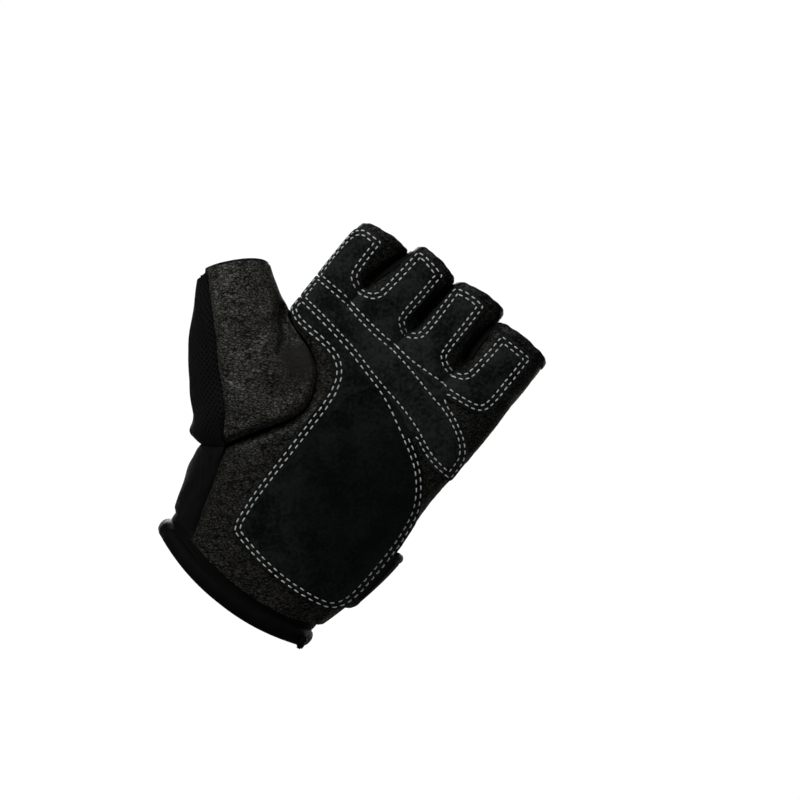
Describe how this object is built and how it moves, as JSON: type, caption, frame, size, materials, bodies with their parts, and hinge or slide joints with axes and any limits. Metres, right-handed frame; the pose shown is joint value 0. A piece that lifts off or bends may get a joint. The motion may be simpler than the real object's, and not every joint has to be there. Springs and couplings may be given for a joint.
{
  "type": "fingerless workout glove",
  "caption": "Fingerless workout glove for the left hand: grained leather palm with double-stitched suede patches, knitted mesh back, open finger stubs and thumb.",
  "frame": {"origin": "middle of the wrist opening, inside the binding", "axes": "+Z from the wrist to the fingers, the palm looks along -Y, the thumb points to -X and the little finger is at +X"},
  "size_m": [0.1256, 0.0526, 0.1507],
  "materials": {
    "grain_leather": "black grained leather with a soft sheen",
    "hem_leather": "turned black leather edge, satin",
    "suede": "black suede, matt, with a cool mottled nap",
    "knit_mesh": "black open-work knit, matt",
    "stretch_knit": "black smooth stretch knit",
    "elastic_binding": "black rolled elastic, matt",
    "strap_fabric": "black woven strap, matt"
  },
  "bodies": {
    "root": {"palm_leather": "grain_leather", "back_mesh": "knit_mesh", "wrist_stretch_panel": "stretch_knit", "thumb_leather": "grain_leather", "thumb_mesh": "knit_mesh", "fourchette_index_middle": "stretch_knit", "fourchette_middle_ring": "stretch_knit", "fourchette_ring_little": "stretch_knit", "finger_hem_index": "hem_leather", "finger_hem_middle": "hem_leather", "finger_hem_ring": "hem_leather", "finger_hem_little": "hem_leather", "thumb_hem": "hem_leather", "wrist_binding": "elastic_binding", "binding_end": "elastic_binding", "wrist_strap": "strap_fabric", "suede_fingers": "suede", "suede_middle": "suede", "suede_heel_pad": "suede"}
  },
  "joints": []
}
